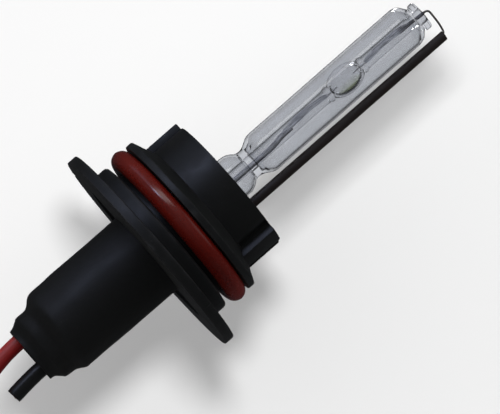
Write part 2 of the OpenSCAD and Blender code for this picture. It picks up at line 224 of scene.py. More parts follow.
def quartz(name, clear, edge, share, wave, seals=()):
    """Clear glass with drawn lines along Z. Where it is seen edge-on, between the two shares,
    its colour goes over to edge: painted shade for the dark rims that its refraction shows.
    At its seals, each (start, end) along Z, it is solid, its bore hardly shows, and it
    bends light less."""
    material, tree, shader = new_finish(name, IOR=QUARTZ_IOR, Transmission_Weight=1)
    lines = grain(tree, 0.5, 3, (1.6, 1.6, 0.05), 0.4)
    cloud = grain(tree, 0.12, 3)
    facing = add(tree, "ShaderNodeLayerWeight", {"Blend": 0.42}).outputs["Facing"]
    tint = blend_colour(tree, between(tree, cloud, 0.35, 0.65), clear, [c * 0.93 for c in clear])
    if seals:
        height = along(tree, "Z")
        solid = 0
        for start, end in seals:
            near = times(tree, between(tree, height, start, start + 0.5),
                         between(tree, height, end, end - 0.5))
            solid = maths(tree, "ADD", near, solid)
        tint = blend_colour(tree, solid, tint, [c ** 1.4 for c in clear])
        link(tree, between(tree, solid, 0, 1, QUARTZ_IOR, SEAL_IOR), shader, "IOR")
        radius = add(tree, "ShaderNodeVectorMath", {0: millimetres(tree, (1, 1, 0))},
                     operation="LENGTH").outputs["Value"]
        tint = blend_colour(tree, between(tree, radius, 2.1, 1.8), tint, (1, 1, 1))
    # Painted shade: the tint goes over to edge where the glass is seen edge-on.
    tint = blend_colour(tree, between(tree, facing, *share), tint, edge)
    link(tree, tint, shader, "Base Color")
    link(tree, between(tree, cloud, 0.3, 0.7, 0.0, 0.045), shader, "Roughness")
    relief(tree, shader, lines, wave)
    return material


def darken_upwards(material, start, end, colour):
    """The material, going over to colour from height start, and wholly that colour from height end
    up.
    """
    tree = material.node_tree
    shader = tree.nodes["Principled BSDF"]
    bare = shader.inputs["Base Color"].links[0].from_socket
    tone = blend_colour(tree, between(tree, along(tree, "Z"), start, end), bare, colour)
    link(tree, tone, shader, "Base Color")
    return material


def film(name, dark, light, span):
    """A see-through crust that thickens along X, over the span in millimetres."""
    material, tree, shader = new_finish(name, IOR=CRUST_IOR, Transmission_Weight=1)
    thick = between(tree, along(tree, "X"), *span)
    fine = grain(tree, 3)
    tone = blend_colour(tree, between(tree, fine, 0.35, 0.65), dark, light)
    link(tree, blend_colour(tree, thick, (1, 1, 1), tone), shader, "Base Color")
    link(tree, between(tree, fine, 0.3, 0.7, 0.1, 0.3), shader, "Roughness")
    relief(tree, shader, fine, 0.01)
    return material


BLACK_WEAR = (0.02, 0.021, 0.023)
FINISHES = {
    "base_plastic": satin("base_plastic", (0.0022, 0.0026, 0.0026), (0.0042, 0.0047, 0.0048), 4,
                          (0.4, 0.52), 0.012, wear=BLACK_WEAR, dust=0.1),
    "insert_plastic": satin("insert_plastic", (0.006, 0.006, 0.0065), (0.011, 0.011, 0.012), 5,
                            (0.45, 0.6), 0.015, wear=BLACK_WEAR, dust=0.1),
    "o_ring_rubber": satin("o_ring_rubber", (0.066, 0.0034, 0.0016), (0.09, 0.005, 0.0024), 3,
                           (0.2, 0.3), 0.008, dust=0.2, Coat_Weight=0.3, Coat_Roughness=0.2),
    "steel": satin("steel", (0.5, 0.5, 0.49), (0.66, 0.66, 0.64), 6, (0.25, 0.4), 0.004,
                   (1, 1, 0.1), Metallic=1),
    "cement": satin("cement", (0.62, 0.6, 0.54), (0.76, 0.74, 0.68), 7, (0.8, 0.95), 0.08),
    # The second colour of each quartz is painted shade at its edge-on rims.
    "quartz": quartz("quartz", (0.69, 0.7, 0.72), (0.14, 0.142, 0.15), (0.5, 0.8), 0.008,
                     ((24.3, 27.8), (68.8, 74))),
    "arc_quartz": quartz("arc_quartz", (0.965, 0.97, 0.985), (0.5, 0.505, 0.52), (0.3, 0.8),
                         0.012),
    "salts": film("salts", (0.62, 0.68, 0.44), (0.72, 0.76, 0.56), (0.1, 2.5)),
    "molybdenum": darken_upwards(satin("molybdenum", (0.22, 0.23, 0.26), (0.66, 0.67, 0.72), 3.5,
                                 (0.3, 0.5), 0.03, (1, 1, 0.12), Metallic=1),
                           66, 67.5, (0.12, 0.12, 0.14)),
    "tungsten": satin("tungsten", (0.84, 0.84, 0.88), (0.96, 0.96, 1), 9, (0.3, 0.45), 0.01,
                      Metallic=0.6),
    "return_metal": satin("return_metal", (0.07, 0.065, 0.06), (0.16, 0.15, 0.14), 7,
                          (0.35, 0.6), 0.01, Metallic=0.8),
    "dark_ceramic": satin("dark_ceramic", (0.0115, 0.0072, 0.0062), (0.02, 0.013, 0.0112), 5,
                          (0.42, 0.62), 0.02, (1, 1, 0.5), wear=(0.03, 0.024, 0.021), dust=0.1),
    "crimp_brass": satin("crimp_brass", (0.55, 0.4, 0.16), (0.72, 0.55, 0.25), 6, (0.25, 0.42),
                         0.01, Metallic=1),
    "sleeve_plastic": satin("sleeve_plastic", (0.02, 0.02, 0.022), (0.035, 0.035, 0.038), 4,
                            (0.4, 0.55), 0.01),
    "grommet_rubber": satin("grommet_rubber", (0.02, 0.02, 0.02), (0.035, 0.035, 0.035), 4,
                            (0.6, 0.75), 0.02),
    "boot_rubber": satin("boot_rubber", (0.002, 0.0023, 0.0023), (0.0036, 0.004, 0.004), 2.5,
                         (0.5, 0.62), 0.012, (1, 1, 0.35), dust=0.08),
    "sealant": satin("sealant", (0.0035, 0.0037, 0.0037), (0.006, 0.0063, 0.0065), 1.5, (0.2, 0.4),
                     0.03),
    "red_silicone": satin("red_silicone", (0.2, 0.006, 0.0055), (0.26, 0.008, 0.0075), 3,
                          (0.4, 0.54), 0.01, (1, 1, 0.2), dust=0.1),
    "black_silicone": satin("black_silicone", (0.0035, 0.0038, 0.0038), (0.0062, 0.0066, 0.0068), 3,
                            (0.3, 0.45), 0.01, (1, 1, 0.2), dust=0.1),
    "copper": satin("copper", (0.62, 0.3, 0.16), (0.8, 0.43, 0.26), 5, (0.22, 0.4), 0.01,
                    (1, 1, 0.2), Metallic=1),
    "plug_plastic": satin("plug_plastic", (0.01, 0.01, 0.011), (0.018, 0.018, 0.02), 4,
                          (0.38, 0.55), 0.012, wear=BLACK_WEAR, dust=0.15),
    "seal_rubber": satin("seal_rubber", (0.42, 0.11, 0.03), (0.52, 0.15, 0.05), 3, (0.45, 0.6),
                         0.01),
    "contact_metal": satin("contact_metal", (0.6, 0.58, 0.52), (0.76, 0.74, 0.68), 6,
                           (0.2, 0.35), 0.005, Metallic=1),
}


def paint_cad_nodes():
    """Each CAD node gets the finish of its material slot in the record."""
    for part in frame["record"]["subparts"]:
        node = frame["nodes"].get(part["node"])
        if node:
            paint(node, part["material_slot"])


def paint(piece, slot):
    piece.data.materials.clear()
    piece.data.materials.append(FINISHES[slot])


# ---------------------------------------------------------------- mesh helpers
def polar(radius, azimuth, height):
    turn = math.radians(azimuth)
    return Vector((radius * math.sin(turn), -radius * math.cos(turn), height))


def rounded(outline, closed=True, steps=3):
    """The outline with its corners eased. A point is (x, y), or (x, y, reach) to ease its corner
    over that reach."""
    made = []
    last = len(outline) - 1
    for i, (x, y, *reach) in enumerate(outline):
        here = Vector((x, y))
        if not reach or (not closed and i in (0, last)):
            made.append(here)
            continue
        behind = Vector(outline[i - 1][:2]) - here
        ahead = Vector(outline[(i + 1) % len(outline)][:2]) - here
        start = here + behind.normalized() * min(reach[0], behind.length * 0.48)
        end = here + ahead.normalized() * min(reach[0], ahead.length * 0.48)
        for k in range(steps + 1):
            t = k / steps
            made.append(start * (1 - t) ** 2 + here * (2 * t * (1 - t)) + end * t * t)
    return made


def smooth_path(points, steps):
    """A curve through the points, with steps stretches between each pair."""
    points = [Vector(p) for p in points]
    ends = [2 * points[0] - points[1], *points, 2 * points[-1] - points[-2]]
    made = []
    for i in range(1, len(ends) - 2):
        a, b, c, d = ends[i - 1:i + 3]
        for k in range(steps):
            t = k / steps
            made.append(0.5 * (2 * b + (c - a) * t + (2 * a - 5 * b + 4 * c - d) * t ** 2
                               + (3 * b - a - 3 * c + d) * t ** 3))
    return made + [points[-1]]


def skin(name, rings, closed=False, hollow=None):
    """A mesh through rings of points. closed joins the last ring to the first. hollow is a second
    list of rings, the wall of a cavity inside the first."""
    shells = [(rings, False)] + ([(hollow, True)] if hollow else [])
    mesh = bmesh.new()
    for shell, inside in shells:
        part = bmesh.new()
        grid = [[part.verts.new(p * MM) for p in ring] for ring in shell]
        pairs = list(zip(grid, grid[1:] + [grid[0]])) if closed else list(zip(grid, grid[1:]))
        for near, far in pairs:
            for k in range(len(near)):
                j = (k + 1) % len(near)
                part.faces.new((near[k], near[j], far[j], far[k]))
        if not closed:
            part.faces.new(grid[0])
            part.faces.new(grid[-1])
        bmesh.ops.remove_doubles(part, verts=part.verts, dist=1e-7)
        bmesh.ops.recalc_face_normals(part, faces=part.faces)
        if inside:
            bmesh.ops.reverse_faces(part, faces=part.faces)
        loose = bpy.data.meshes.new("shell")
        part.to_mesh(loose)
        part.free()
        mesh.from_mesh(loose)
        bpy.data.meshes.remove(loose)
    return mesh_object(name, mesh)


def lathe(name, outline, sides=96, closed=True, shift=None, hollow=None):
    """An outline of (radius, height) points turned about Z. shift(radius, azimuth, height) gives a
    point's place where it isn't the plain one."""
    place = shift or polar
    turns = [360 * k / sides for k in range(sides)]
    rings = [[place(p[0], a, p[1]) for a in turns] for p in outline]
    inner = [[place(p[0], a, p[1]) for a in turns] for p in hollow] if hollow else None
    return skin(name, rings, closed, inner)


def tube_rings(path, radius, sides):
    """Rings square to a path. radius(share) is the radius at that share of the path's points."""
    normal = Vector((0, 1, 0))
    made = []
    for i, point in enumerate(path):
        ahead = (path[min(i + 1, len(path) - 1)] - path[max(i - 1, 0)]).normalized()
        normal = (normal - ahead * normal.dot(ahead)).normalized()
        across = ahead.cross(normal)
        size = radius(i / (len(path) - 1))
        turns = [math.tau * k / sides for k in range(sides)]
        made.append([point + size * (math.cos(a) * normal + math.sin(a) * across) for a in turns])
    return made


def own(piece, slot, *nodes, angle=38):
    """Finishes a piece: its material and smooth shading. It rides on the root body, and the CAD
    nodes it stands for are hidden.
    """
    if piece.type == "MESH":
        for face in piece.data.polygons:
            face.use_smooth = True
        piece.data.set_sharp_from_angle(angle=math.radians(angle))
    paint(piece, slot)
    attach(piece, "root")
    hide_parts(*nodes)
    return piece


def soften(node, width):
    """Eases a CAD node's edges with modifiers, which leave its mesh alone."""
    piece = frame["nodes"][node]
    weld = piece.modifiers.new("weld", "WELD")
    weld.merge_threshold = 1e-6
    flat = piece.modifiers.new("flat", "DECIMATE")
    flat.decimate_type = "DISSOLVE"
    flat.angle_limit = math.radians(1)
    bevel = piece.modifiers.new("bevel", "BEVEL")
    bevel.width = width * MM
    bevel.segments = 2
    bevel.limit_method = "ANGLE"
    bevel.angle_limit = math.radians(40)
    bevel.harden_normals = True
    for face in piece.data.polygons:
        face.use_smooth = True
    piece.data.set_sharp_from_angle(angle=math.radians(35))


def ripple(place, size, amount, seed=0):
    """A smooth random number, at most about amount, that changes over size millimetres."""
    return amount * noise.noise(place / size + Vector((seed, seed * 0.7, 0)))


# ---------------------------------------------------------------- moulded base
FLANGE_R = high("base_housing").x
PILOT_END = high("base_housing").z
STEM_END = low("base_housing").z
FLANGE_T = 2.3
STEP_R = 18.65
STEP_LEN = 3.2
GROOVE_R = 15.2
GROOVE_END = 8.8
COLLAR_R = 19.15
COLLAR_END = 10.3
CONE_END = 12.3
PILOT_R = 14.5
LUG_R = 16.3
LUG_END = 20
INSERT_R = 12.35
INSERT_Z = low("front_insert").z
CAVITY_R = 11.2
FLOOR_TOP = low("ceramic_cement").z
STEM_R = 8.6
STEM_BORE_R = high("lead_grommet").x
LUGS = [(-112, -98), (56, 75), (98, 110), (172, 188)]
BROAD_LUG = LUGS[1]
PANEL = (47, 55.9)
PANEL_DEPTH = 1.2
POCKETS = [(92, 176), (184, 268)]
POCKET_R = (10, 16.85)
POCKET_TOP = 1.4
NOTCH = (-117, -111)
NOTCH_DEPTH = 1
PARTING_LINES = (41.2, -138.8)


def rise(azimuth, start, end, ease=1.0, soft=0.1):
    """1 between two azimuths and 0 outside them. Its shoulders round off the last soft share over
    ease degrees."""
    past = (azimuth - start) % 360
    if past > (end - start) % 360:
        return 0
    depth = min(past, (end - azimuth) % 360, ease) / ease
    return 1 - soft * (1 - math.sqrt(1 - (1 - depth) ** 2))


def base_azimuths():
    """Columns every 3 degrees, and closer ones at each edge that runs along the axis."""
    marks = set(range(-180, 180, 3))
    for start, end in LUGS + POCKETS + [PANEL, NOTCH]:
        for step in (-0.03, 0, 0.12, 0.4, 1):
            marks |= {start + step, end - step}
    for ridge in PARTING_LINES:
        marks |= {ridge + step for step in (-0.5, -0.2, 0, 0.2, 0.5)}
    return sorted({round((m + 180) % 360 - 180, 2) for m in marks})


def base_column(azimuth):
    """The base's outline at one azimuth, always with the same number of points."""
    lug = max(rise(azimuth, *ends) for ends in LUGS)
    top = PILOT_END - 0.02 if rise(azimuth, *BROAD_LUG) else LUG_END
    wall = PILOT_R + (LUG_R - PILOT_R) * lug
    foot = COLLAR_END + (CONE_END - COLLAR_END) * (COLLAR_R - wall) / (COLLAR_R - PILOT_R)
    panel = wall - PANEL_DEPTH * rise(azimuth, *PANEL)
    pocket = -FLANGE_T + (POCKET_TOP + FLANGE_T) * max(rise(azimuth, *p) for p in POCKETS)
    notch = FLANGE_R - NOTCH_DEPTH * rise(azimuth, *NOTCH)
    ridge = max(0, 1 - min(abs(azimuth - a) for a in PARTING_LINES) / 0.4) * 0.07
    return rounded([
        (STEM_R, STEM_END, 0.4),
        (STEM_R, -FLANGE_T, 0.15),
        (POCKET_R[0], -FLANGE_T, 0.15),
        (POCKET_R[0], pocket, 0.3),
        (POCKET_R[1], pocket, 0.3),
        (POCKET_R[1], -FLANGE_T, 0.15),
        (notch, -FLANGE_T, 0.3),
        (notch, 1 - FLANGE_T, 0.1),
        (FLANGE_R + ridge, 1.02 - FLANGE_T, 0.1),
        (FLANGE_R + ridge, 0, 0.4),
        (STEP_R, 0, 0.3),
        (STEP_R, STEP_LEN, 0.9),
        (GROOVE_R, STEP_LEN, 0.2),
        (GROOVE_R, GROOVE_END, 0.2),
        (COLLAR_R, GROOVE_END, 0.25),
        (COLLAR_R, COLLAR_END, 0.3),
        (wall, foot, 0.35),
        (wall, CONE_END + 0.3, 0.12),
        (panel, CONE_END + 0.32, 0.2),
        (panel, top, 0.3),
        (PILOT_R + 0.01, top + 0.01, 0.1),
        (PILOT_R, PILOT_END, 0.4),
        (INSERT_R, PILOT_END, 0.3),
        (INSERT_R, INSERT_Z, 0.2),
        (CAVITY_R, INSERT_Z, 0.2),
        (CAVITY_R, FLOOR_TOP, 0.3),
        (STEM_BORE_R, FLOOR_TOP, 0.3),
        (STEM_BORE_R, STEM_END, 0.3),
    ])


def make_base():
    turns = base_azimuths()
    columns = [base_column(a) for a in turns]
    rings = [[polar(c[i][0], a, c[i][1]) for a, c in zip(turns, columns)]
             for i in range(len(columns[0]))]
    own(skin("base_housing_body", rings, closed=True), "base_plastic", "base_housing", angle=30)


def make_o_ring():
    """A round section with the faint flash line of its mould at the outer and inner waist."""
    section = (high("o_ring").z - low("o_ring").z) / 2
    middle = high("o_ring").x - section
    waist = centre("o_ring").z
    count = 48
    outline = []
    for k in range(count):
        turn = math.tau * k / count
        size = section + (0.035 if k in (0, count // 2) else -0.015)
        outline.append((middle + size * math.cos(turn), waist + size * math.sin(turn)))

    def uneven(radius, azimuth, height):
        place = polar(radius, azimuth, height)
        return polar(radius + ripple(place, 9, 0.05), azimuth, height + ripple(place, 9, 0.05, 5))

    return own(lathe("o_ring_seal", outline, 180, shift=uneven), "o_ring_rubber", "o_ring")


# ---------------------------------------------------------------- quartz capsule
JACKET_R = high("outer_jacket").x
BORE_R = JACKET_R - 0.42
FOOT_Z = low("outer_jacket").z
TIP_Z = high("outer_jacket").z
NECK_R = 3.3
LEG_R = 1.5
THROAT_R = LEG_R + 0.03
TIP_LEAN = 0.27
PIP = (-48, 27.9)
CHAMBER_R = high("arc_tube").x
CHAMBER_HALF = 4.55
ARC_Z = 51.9
CAVITY_HALF = 3.6
CHAMBER_BORE = 2.3


def glass_place(radius, azimuth, height):
    """Hand-drawn quartz: its wall wavers a little, its neck has a dent where it was sealed off, and
    its tip leans to the return wire's side."""
    place = polar(radius, azimuth, height)
    lean = TIP_LEAN * smooth_step(height, 69, 71)
    across = math.radians((azimuth - PIP[0] + 180) % 360 - 180) * JACKET_R
    if radius > THROAT_R + 0.4:
        radius -= 0.4 * math.exp(-(across ** 2 + (height - PIP[1]) ** 2) / 0.45)
    radius += ripple(place, 6, 0.035)
    return polar(radius, azimuth, height) + Vector((lean, 0, 0))


def smooth_step(value, start, end):
    share = min(max((value - start) / (end - start), 0), 1)
    return share * share * (3 - 2 * share)


def make_jacket():
    outer = [
        (THROAT_R + 2.4, FOOT_Z, 0.3), (JACKET_R, FOOT_Z, 0.4), (JACKET_R, 22.6, 0.9),
        (4.2, 23.7, 0.4), (3.45, 24.7, 0.35), (NECK_R, 25.3, 0.5), (NECK_R, 26.2, 0.6),
        (3.75, 27.2, 0.5), (4.5, 28.4, 0.6), (JACKET_R, 29.3, 0.6),
        (JACKET_R, 68.6, 0.7), (4.25, 69.8, 0.6), (3.3, 70.55, 0.4), (2.85, 70.9, 0.15),
        (2.85, 71.2, 0.12), (3.2, 71.4, 0.15), (3.24, 72.35, 0.2), (3.05, TIP_Z, 0.25),
        (THROAT_R + 0.3, TIP_Z, 0.2), (THROAT_R, TIP_Z - 0.3, 0.1),
    ]
    inner = [
        (THROAT_R, 70.5, 0.1), (2.2, 70.45, 0.4), (3, 70.0, 0.5), (3.75, 69.4, 0.5),
        (BORE_R, 68.4, 0.6), (BORE_R, 29.4, 0.6), (4.1, 28.75, 0.5), (3.4, 27.75, 0.4),
        (2.9, 27.1, 0.3), (2.55, 26.75, 0.25), (THROAT_R, 26.7, 0.1), (THROAT_R, 25.05, 0.1),
        (2.7, 25, 0.15), (2.95, 24.6, 0.3), (3.85, 23.45, 0.4), (BORE_R, 22.4, 0.6),
        (BORE_R, FOOT_Z, 0.2),
    ]
    outline = dense(rounded(outer + inner), 1.2)
    jacket = lathe("outer_jacket_glass", outline, 112, shift=glass_place)
    return own(jacket, "quartz", "outer_jacket", angle=70)


def dense(outline, step):
    """A closed outline with more points, so that none of its stretches is longer than step."""
    made = []
    for here, ahead in zip(outline, outline[1:] + outline[:1]):
        count = max(1, math.ceil((ahead - here).length / step))
        made += [here.lerp(ahead, k / count) for k in range(count)]
    return made


def arc_wall(height):
    """Radius of the arc tube's outer wall: two legs that swell into the chamber."""
    away = abs(height - ARC_Z)
    bulge = CHAMBER_R * math.sqrt(max(0, 1 - (away / CHAMBER_HALF) ** 2))
    neck = LEG_R + 0.75 * math.exp(-((away - CHAMBER_HALF + 0.5) / 0.8) ** 2) * (away > 4)
    return max(bulge, min(neck, LEG_R + 0.35))


def make_arc_tube():
    start = low("arc_tube").z
    end = TIP_Z - 0.05
    heights = [start + 0.3 + k * 0.8 for k in range(40)]
    heights = [h for h in heights if h < ARC_Z - 6]
    heights += [ARC_Z - 6 + k * 0.25 for k in range(49)]
    heights += [h for h in (ARC_Z + 6.8 + k * 0.8 for k in range(20)) if h < end - 0.4]
    wall = [(arc_wall(h), h) for h in heights]
    outline = [(0.01, start), (LEG_R - 0.3, start), *wall, (LEG_R, end - 0.25),
               (LEG_R - 0.2, end), (0.01, end)]
    turns = [-90 + 180 * k / 32 for k in range(33)]
    cavity = [(max(0.01, CHAMBER_BORE * math.cos(math.radians(a))),
               ARC_Z + CAVITY_HALF * math.sin(math.radians(a))) for a in turns]
    tube = lathe("arc_tube_glass", outline, 64, closed=False, shift=glass_place, hollow=cavity)
    return own(tube, "arc_quartz", "arc_tube", angle=70)


FOIL_TURN = -58
FOIL_BOW = -0.26
FOIL_HALF = 0.68


def make_foil(node, seed):
    """A crinkled ribbon with feathered edges, pinched where the wires are welded to it."""
    bottom, top = low(node).z, high(node).z
    steps = 60
    rings = []
    for i in range(steps + 1):
        share = i / steps
        height = bottom + 0.02 + (top - bottom - 0.04) * share
        pinch = 1 - 0.35 * math.exp(-(min(share, 1 - share) / 0.05) ** 2)
        wave = 0.1 * math.sin(share * 9 + seed) * math.sin(share * math.pi)
        ring = []
        for k in range(10):
            turn = math.tau * k / 10
            across = FOIL_HALF * pinch * math.cos(turn)
            crease = 0.05 * noise.noise(Vector((across * 3, height * 0.9, seed)))
            ring.append(polar(1, FOIL_TURN, 0) * (0.035 * math.sin(turn) + crease + wave * across)
                        + polar(1, FOIL_TURN + 90, 0) * across
                        + Vector((FOIL_BOW * math.sin(math.pi * share), 0, height)))
        rings.append(ring)
    own(skin(node + "_ribbon", rings), "molybdenum", node, angle=60)


def make_electrode(node, tip, tail):
    """A tungsten rod that ends in a small melted ball."""
    radius = high(node).x
    way = 1 if tip > tail else -1
    ball = radius * 1.35
    outline = [(0.005, tail), (radius, tail), (radius, tip - way * ball * 1.9)]
    for k in range(7):
        turn = math.radians(-50 + 140 * k / 6)
        outline.append((max(0.005, ball * math.cos(turn)), tip + way * ball * (math.sin(turn) - 1)))
    own(lathe(node + "_rod", outline, 20, closed=False), "tungsten", node)


def make_salts():
    """A thin uneven crust on the chamber's wall, towards the return wire's side."""
    rings = []
    rows = 14
    columns = 24
    for layer in (0.02, 0.1):
        span = range(rows + 1) if layer < 0.05 else range(rows, -1, -1)
        for i in span:
            share = i / rows
            angle = math.radians(-50 + 100 * share)
            width = 66 * math.sqrt(max(0.02, 1 - (2 * share - 1) ** 2))
            ring = []
            for k in range(columns + 1):
                side = 2 * k / columns - 1
                azimuth = 62 + width * side
                edge = (1 - abs(side) ** 4) * (1 - abs(2 * share - 1) ** 4)
                place = Vector((azimuth * 0.1, share * 8, 3))
                depth = 0.02 + (layer - 0.02) * edge * (0.7 + 0.6 * noise.noise(place))
                ring.append(polar((CHAMBER_BORE - depth) * math.cos(angle), azimuth,
                                  ARC_Z + (CAVITY_HALF - depth) * math.sin(angle)))
            rings.append(ring)
    sheet = bmesh.new()
    grid = [[sheet.verts.new(p * MM) for p in ring] for ring in rings]
    for near, far in zip(grid, grid[1:] + [grid[0]]):
        for k in range(columns):
            sheet.faces.new((near[k], near[k + 1], far[k + 1], far[k]))
    for k in (0, columns):
        rim = [ring[k] for ring in grid]
        half = len(rim) // 2
        for i in range(half - 1):
            sheet.faces.new((rim[i], rim[i + 1], rim[-2 - i], rim[-1 - i]))
    bmesh.ops.recalc_face_normals(sheet, faces=sheet.faces)
    own(mesh_object("halide_crust", sheet), "salts", "halide_deposit", angle=60)


def make_wire(name, slot, points, radius, node, sides=16, steps=6, blobs=()):
    """A round wire along a route. Each blob is a share of the route where it is welded thicker."""
    def size(share):
        swell = sum(math.exp(-((share - b) / 0.012) ** 2) for b in blobs)
        return radius * (1 + 0.7 * swell)

    path = smooth_path(points, steps)
    return own(skin(name, tube_rings(path, size, sides)), slot, node)


RETURN_R = 0.22
SLEEVE_X = centre("ceramic_sleeve").x
SLEEVE_R = (high("ceramic_sleeve").x - low("ceramic_sleeve").x) / 2
SLEEVE_TOP = high("ceramic_sleeve").z
LEAD_X = 3.55
SPLICE_MIDDLE = -2.25


def make_wires():
    rear_foil = low("rear_foil").z
    front_foil = high("front_foil").z
    make_wire("rear_lead_wire_rod", "molybdenum", [
        (0.03, 0.03, rear_foil + 2.6), (0.08, 0.05, rear_foil), (0.3, 0, 32.6), (0.42, 0, 30.5),
        (0.42, 0, 24), (0.36, 0, 18), (0, 0, 12),
        (0, 0, FLOOR_TOP), (-0.3, 0, 3.4), (-3.2, 0, 1.9), (-LEAD_X, 0, 1.3),
        (-LEAD_X, 0, SPLICE_MIDDLE)], 0.42, "rear_lead_wire")
    make_wire("front_lead_wire_rod", "molybdenum", [
        (0.03, 0.05, front_foil - 2.6), (0.03, 0.05, front_foil), (0.15, 0, 70.8),
        (0.3, 0, TIP_Z + 0.2)], 0.26, "front_lead_wire")
    make_wire("return_wire_rod", "return_metal", [
        (0.3, 0, TIP_Z - 0.7), (0.24, 0, TIP_Z + 0.35), (0.3, 0, TIP_Z + 0.95),
        (0.62, 0, TIP_Z + 1.35), (1.1, 0, TIP_Z + 1.5), (3.6, 0, TIP_Z + 1.38),
        (5.1, 0, TIP_Z + 1.15), (5.85, 0, TIP_Z + 0.9), (6.3, 0, TIP_Z + 0.45),
        (SLEEVE_X, 0, TIP_Z - 0.4), (SLEEVE_X, 0, TIP_Z - 3), (SLEEVE_X, 0, 40),
        (SLEEVE_X, 0, FLOOR_TOP), (SLEEVE_X - 0.3, 0, 3.4), (4, 0, 1.9), (LEAD_X, 0, 1.3),
        (LEAD_X, 0, SPLICE_MIDDLE)], RETURN_R, "return_wire", blobs=(0.055,))


def make_sleeve():
    """A ceramic tube with a chipped upper end that is cut a little aslant."""
    bottom = low("ceramic_sleeve").z
    bore = RETURN_R + 0.18
    outline = rounded([
        (bore, bottom, 0.05), (SLEEVE_R, bottom, 0.1), (SLEEVE_R, 25), (SLEEVE_R, 45),
        (SLEEVE_R, 65), (SLEEVE_R, SLEEVE_TOP, 0.18), (bore, SLEEVE_TOP, 0.12), (bore, 65),
        (bore, 45), (bore, 25)])

    def worn(radius, azimuth, height):
        around = polar(radius, azimuth, 0)
        place = around + Vector((0, 0, height))
        radius += ripple(place, 3, 0.025)
        if height > SLEEVE_TOP - 0.5:
            height += 0.15 + min(0, ripple(around, 0.45, 0.3, 3)) - 0.05 * (around.x + SLEEVE_R)
        return polar(radius, azimuth, height) + Vector((SLEEVE_X, 0, 0))

    own(lathe("ceramic_sleeve_tube", outline, 40, shift=worn), "dark_ceramic", "ceramic_sleeve")


# ---------------------------------------------------------------- boot, sealant and leads
BOOT_WALL = 0.95
BOOT_MOUTH = low("heat_shrink_boot").z
BOOT_START = high("heat_shrink_boot").z
LEAD_R = 1.675
CORE_R = 0.75
# Height, and the boot's radius on its red lead's side and on its black lead's side
BOOT_SHAPE = [
    (BOOT_START, 9.6, 9.66), (-10, 9.6, 9.6), (-17, 9.68, 9.54), (-20, 9.72, 9.47),
    (-22.5, 9.62, 9.43), (-25.4, 9.6, 9.42), (-26.6, 9.2, 9.34), (-27.8, 8.2, 8.6),
    (-28.8, 7.76, 8.14), (-30.9, 7.72, 7.96), (-31.7, 7.2, 7.32), (-32.8, 6.45, 6.45),
    (BOOT_MOUTH, 6.15, 6.25),
]


def tail(height):
    """0 along the boot's body and 1 at its mouth."""
    return smooth_step(-height, 25.5, 33)


def boot_place(radius, azimuth, height):
    """Shrunk tubing: flatter across the two leads at its mouth, with folds where it narrows."""
    place = polar(radius, azimuth, height)
    narrow = tail(height)
    folds = 0.3 * math.sin(math.radians(azimuth * 5 + height * 14)) * narrow * (1 - narrow) * 4
    radius += folds * 0.55 + ripple(place, 3.2, 0.32) * (0.12 + narrow * 0.9)
    made = polar(radius, azimuth, height)
    return Vector((made.x, made.y * (1 - 0.2 * narrow), made.z))


def boot_outline(inset):
    """Curves of the boot's wall on its two sides, as (height, radius, radius)."""
    return [(p.x, p.y - inset, p.z - inset) for p in smooth_path(BOOT_SHAPE, 6)]


def boot_ring(turns, height, red_side, black_side):
    """A ring of the boot's shape, whose radius goes over from one lead's side to the other's."""
    made = []
    for azimuth in turns:
        share = (1 + math.sin(math.radians(azimuth))) / 2
        made.append(boot_place(red_side + (black_side - red_side) * share, azimuth, height))
    return made


def make_boot():
    turns = [3 * k for k in range(120)]
    outer = [boot_ring(turns, *row) for row in boot_outline(0)]
    lip = BOOT_MOUTH - 0.02
    red_side, black_side = BOOT_SHAPE[-1][1:]
    for inset in (0.1, BOOT_WALL - 0.1):
        outer.append(boot_ring(turns, lip, red_side - inset, black_side - inset))
    inner = [boot_ring(turns, *row) for row in reversed(boot_outline(BOOT_WALL))
             if row[0] < STEM_END - 0.4]
    plain = [[polar(STEM_R + 0.02, a, z) for a in turns] for z in (STEM_END - 0.02, BOOT_START)]
    boot = skin("heat_shrink_boot_skin", outer + inner + plain, closed=True)
    own(boot, "boot_rubber", "heat_shrink_boot", angle=50)


def make_sealant():
    """Hot-melt glue that fills the boot's tail and climbs a little up the leads and the wall."""
    turns = [6 * k for k in range(60)]
    wall = [row for row in boot_outline(BOOT_WALL + 0.02) if row[0] < STEM_END - 0.5]
    rings = [boot_ring(turns, *row) for row in [(STEM_END - 0.1, 8.3, 8.3), *wall[:-1]]]
    face = BOOT_MOUTH + 0.45
    rim = rings[-1]
    for share in (0.99, 0.94, 0.86, 0.76, 0.64, 0.5, 0.36, 0.2, 0.08):
        ring = []
        for p in rim:
            flat = Vector((p.x * share, p.y * share, 0))
            near = min((flat - Vector((x, 0, 0))).length for x in (-LEAD_X, LEAD_X)) - LEAD_R
            climb = 0.35 * math.exp(-max(near, 0) / 0.3) + 0.4 * math.exp(-(1 - share) / 0.04)
            ring.append(flat + Vector((0, 0, face - climb + ripple(flat, 1.2, 0.12))))
        rings.append(ring)
    own(skin("boot_sealant_fill", rings), "sealant", "boot_sealant", angle=60)


RED_ROUTE = [
    (-3.55, 0, -33.8), (-3.5, 0, -35.5), (-3.3, 0, -38), (-2.8, 0, -41), (-2, 0, -45),
    (-0.9, -0.4, -50), (0.4, -1, -56), (1.8, -1.6, -63), (3, -2, -70.5), (3.8, -2, -78.5),
    (4.1, -1.6, -87), (4, -1, -95.5), (3.6, -0.4, -104), (3.2, -0.1, -112.5), (3, 0, -121),
    (3, 0, -129), (3, 0, -136), (3, 0, -142),
]
BLACK_ROUTE = [(3.55, 0, -33.8), (3.6, 0, -36), (3.8, 0, -39), (4.1, 0, -41.8)]
STRIP_Z = -9


